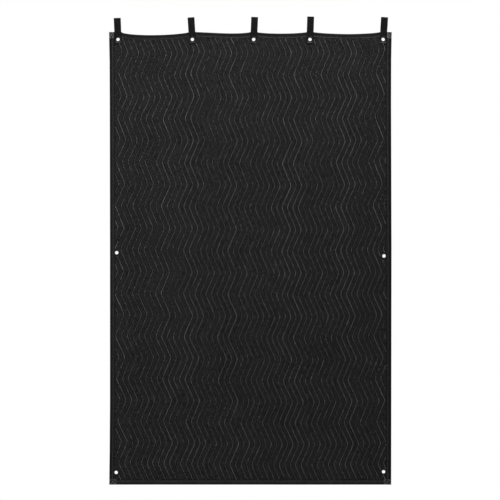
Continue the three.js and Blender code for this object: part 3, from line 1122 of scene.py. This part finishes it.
def make_quilting(cloth_tree):
    """All the zigzag lines, as a left and a right piece on each side of the quilt."""
    made = []
    for side, side_name in SIDES:
        for half_name, lines in QUILTING_LINES.items():
            runs = [quilting_run(line, side) for line in lines]
            where = (f"quilting_{side_name}_{half_name}", cloth_tree, side, runs)
            made.append(sew(*where, QUILT_STITCH, len(made), LIGHT_THREAD, "quilted_cloth"))
    return made


SEAM_SPACING = 0.0042
SIDE_SEAM_FROM = 0.004
LEVEL_SEAM_TO = 0.634
SEAM_SHADES = {"left": 0.58, "right": 0.64, "heading": 0.95, "bottom": 0.62}
SEAM_SUNK_IN = {"left_of": TABS[1]["across"], "share": 0.35}


def seam_run(edge):
    """The stitches that hold one tape, but for those under a tab's tail."""

    def point(along):
        if edge in SIDE_EDGES:
            return from_side(edge, SEAMS[edge], along, 0)
        return cloth_point(along, down_from(edge, SEAMS[edge]), 0)

    along = np.arange(-LEVEL_SEAM_TO, LEVEL_SEAM_TO, SEAM_SPACING)
    if edge in SIDE_EDGES:
        along = np.arange(SIDE_SEAM_FROM, DROP - SIDE_SEAM_FROM, SEAM_SPACING)
    places = point(along)[:, [0, 2]]
    shade = np.full(len(along), SEAM_SHADES[edge])
    if edge == "heading":
        shade[places[:, 0] < SEAM_SUNK_IN["left_of"]] *= SEAM_SUNK_IN["share"]
    clear = near_tail(places[:, 0], -places[:, 1], CLEAR_OF_TAIL) < 0.5
    return places[clear], directions(point, along[clear], step=0.001), shade[clear]


# The crossed boxes at the corners: how far in from the side edge and the level one they begin and end
CORNER_TACKS = {
    "heading": {"sideways": (0.0022, 0.0195), "level": (0.0015, 0.0275), "shade": 0.72},
    "bottom": {"sideways": (0.0025, 0.0320), "level": (0.0035, 0.0235), "shade": 0.46},
}
TACK_SPACING = 0.0027
TAIL_ROWS = (-0.0141, -0.0159)
TAIL_SIDES = (-0.0128, 0.0128)
TAIL_TOP = -0.0022
TAIL_SHADES = {"rows": 0.30, "sides": 0.08}


def straight_run(start, end, shade):
    """Tacks from one point to another, seen from the front."""
    length = np.linalg.norm(end - start)
    count = max(round(length / TACK_SPACING), 1)
    share = (np.arange(count) + 0.5) / count
    places = start + share[:, None] * (end - start)
    return places, np.broadcast_to((end - start) / length, places.shape), np.full(count, shade)


def tail_runs(tab):
    """The seam that shows at the foot of a tab's tail: two rows across it, and one up each side."""
    runs = [(TAIL_SIDES, (row, row), TAIL_SHADES["rows"]) for row in TAIL_ROWS]
    side_heights = (TAIL_ROWS[-1], TAIL_TOP)
    runs += [((side, side), side_heights, TAIL_SHADES["sides"]) for side in TAIL_SIDES]
    for across, height, shade in runs:
        start, end = turn_with_tab(tab, np.array(across), 0, np.array(height))[:, [0, 2]]
        yield straight_run(start, end, shade)


def corner_runs(side, edge):
    """A box of stitches with a cross in it, in one corner of the curtain."""
    tacks = CORNER_TACKS[edge]
    near, far = tacks["sideways"]
    first, last = tacks["level"]
    down = down_from(edge, np.array([first, first, last, last]))
    corners = from_side(side, np.array([near, far, far, near]), down, 0)[:, [0, 2]]
    for start, end in ((0, 1), (1, 2), (2, 3), (3, 0), (0, 2), (1, 3)):
        yield straight_run(corners[start], corners[end], tacks["shade"])


def sew_through(name, cloth_tree, runs, stitch, material, slot):
    """The same runs on the front and on the back."""
    return [
        sew(f"{name}_{side_name}", cloth_tree, side, runs, stitch, side, material, slot)
        for side, side_name in SIDES
    ]


# Putting the pieces together

quilt = make_quilt()
tapes = [make_level_tape(edge) for edge in ("heading", "bottom")]
tapes += [make_side_tape(side) for side in SIDE_EDGES]
tabs = [make_tab(number, tab) for number, tab in enumerate(TABS, 1)]
rings = [make_ring(number, *place) for number, place in enumerate(EYELETS, 1)]
cloth_tree = tree_of([quilt, *tapes, *tabs])
quilting = make_quilting(cloth_tree)
edge_runs = [seam_run(edge) for edge in SEAM_SHADES]
seams = sew_through("seams", cloth_tree, edge_runs, SEAM_STITCH, DARK_THREAD, "binding_tape")
tails = [run for tab in TABS for run in tail_runs(tab)]
tail_seams = sew_through("tail_seams", cloth_tree, tails, TACK_STITCH, LIGHT_THREAD, "webbing")
boxes = [run for side in SIDE_EDGES for edge in CORNER_TACKS for run in corner_runs(side, edge)]
tacked = (boxes, TACK_STITCH, LIGHT_THREAD, "binding_tape")
corner_tacks = sew_through("corner_tacks", cloth_tree, *tacked)


# Camera: square on, and far enough away for the photograph's flat look

CAMERA_AWAY = 9.0
SENSOR = 36.0
FRAME_WIDTH = 2.3395
FRAME_CENTRE = (-0.0028, -1.020)

camera = new_object("camera", bpy.data.cameras.new("camera"))
camera.data.sensor_width = SENSOR
camera.data.lens = SENSOR * CAMERA_AWAY / FRAME_WIDTH
camera.location = (FRAME_CENTRE[0], -CAMERA_AWAY, FRAME_CENTRE[1])
camera.rotation_euler = (math.pi / 2, 0, 0)
bpy.context.scene.camera = camera


# Light: a dim white room, soft lights on the right, the left and behind, and one from straight above

ROOM_LIGHT = 0.05
KEY = {"place": (0.65, -1.45, 1.2), "size": 1.6, "power": 48.5}
FILL = {"place": (-1.7, -1.5, -0.5), "size": 1.6, "power": 27}
BACK = {"place": (2.0, 4.2, 1.2), "size": 2.2, "power": 150}
ABOVE = {"strength": 1.2, "angle": 0.35}
FLOOR = {"patches": 0.4, "dark": 0.80, "light": 0.84, "roughness": 0.9}
FLOOR_LEVEL = -2.42
FLOOR_CORNERS = ((-5.0, -8.0), (5.0, -8.0), (5.0, 1.5), (-5.0, 1.5))


def soft_light(name, place, size, power):
    light = new_object(name, bpy.data.lights.new(name, "AREA"))
    light.data.shape = "SQUARE"
    light.data.size = size
    light.data.energy = power
    light.location = place
    aim = Vector((0, 0, FRAME_CENTRE[1])) - Vector(place)
    light.rotation_euler = aim.to_track_quat("-Z", "Y").to_euler()


def light_from_above(strength, angle):
    """It falls on the floor more than on the curtain."""
    light = new_object("above", bpy.data.lights.new("above", "SUN"))
    light.data.energy = strength
    light.data.angle = angle


def white_room():
    """White where the camera looks past the curtain, and a softer light on the curtain itself."""
    world = bpy.data.worlds.new("room")
    world.use_nodes = True
    background = world.node_tree.nodes["Background"]
    seen = add(background, "LightPath", {}).outputs["Is Camera Ray"]
    strength = rescale(seen, 0.0, 1.0, ROOM_LIGHT, 1.0)
    feed(background, {"Color": grey(1.0), "Strength": strength})
    bpy.context.scene.world = world


def make_floor():
    """A plain pale floor below the curtain."""
    mesh = bpy.data.meshes.new("floor")
    mesh.from_pydata([(x, y, FLOOR_LEVEL) for x, y in FLOOR_CORNERS], [], [(0, 1, 2, 3)])
    material, shader = new_material("floor")
    patches = varied(noise(place_in(shader), FLOOR["patches"], detail=3.0), 0.0, 1.0)
    colour = blend(patches, grey(FLOOR["dark"]), grey(FLOOR["light"]))
    feed(shader, {"Base Color": colour, "Roughness": FLOOR["roughness"]})
    mesh.materials.append(material)
    new_object("floor", mesh)


soft_light("key", **KEY)
soft_light("fill", **FILL)
soft_light("back", **BACK)
light_from_above(**ABOVE)
white_room()
make_floor()
bpy.context.scene.view_settings.view_transform = "Standard"
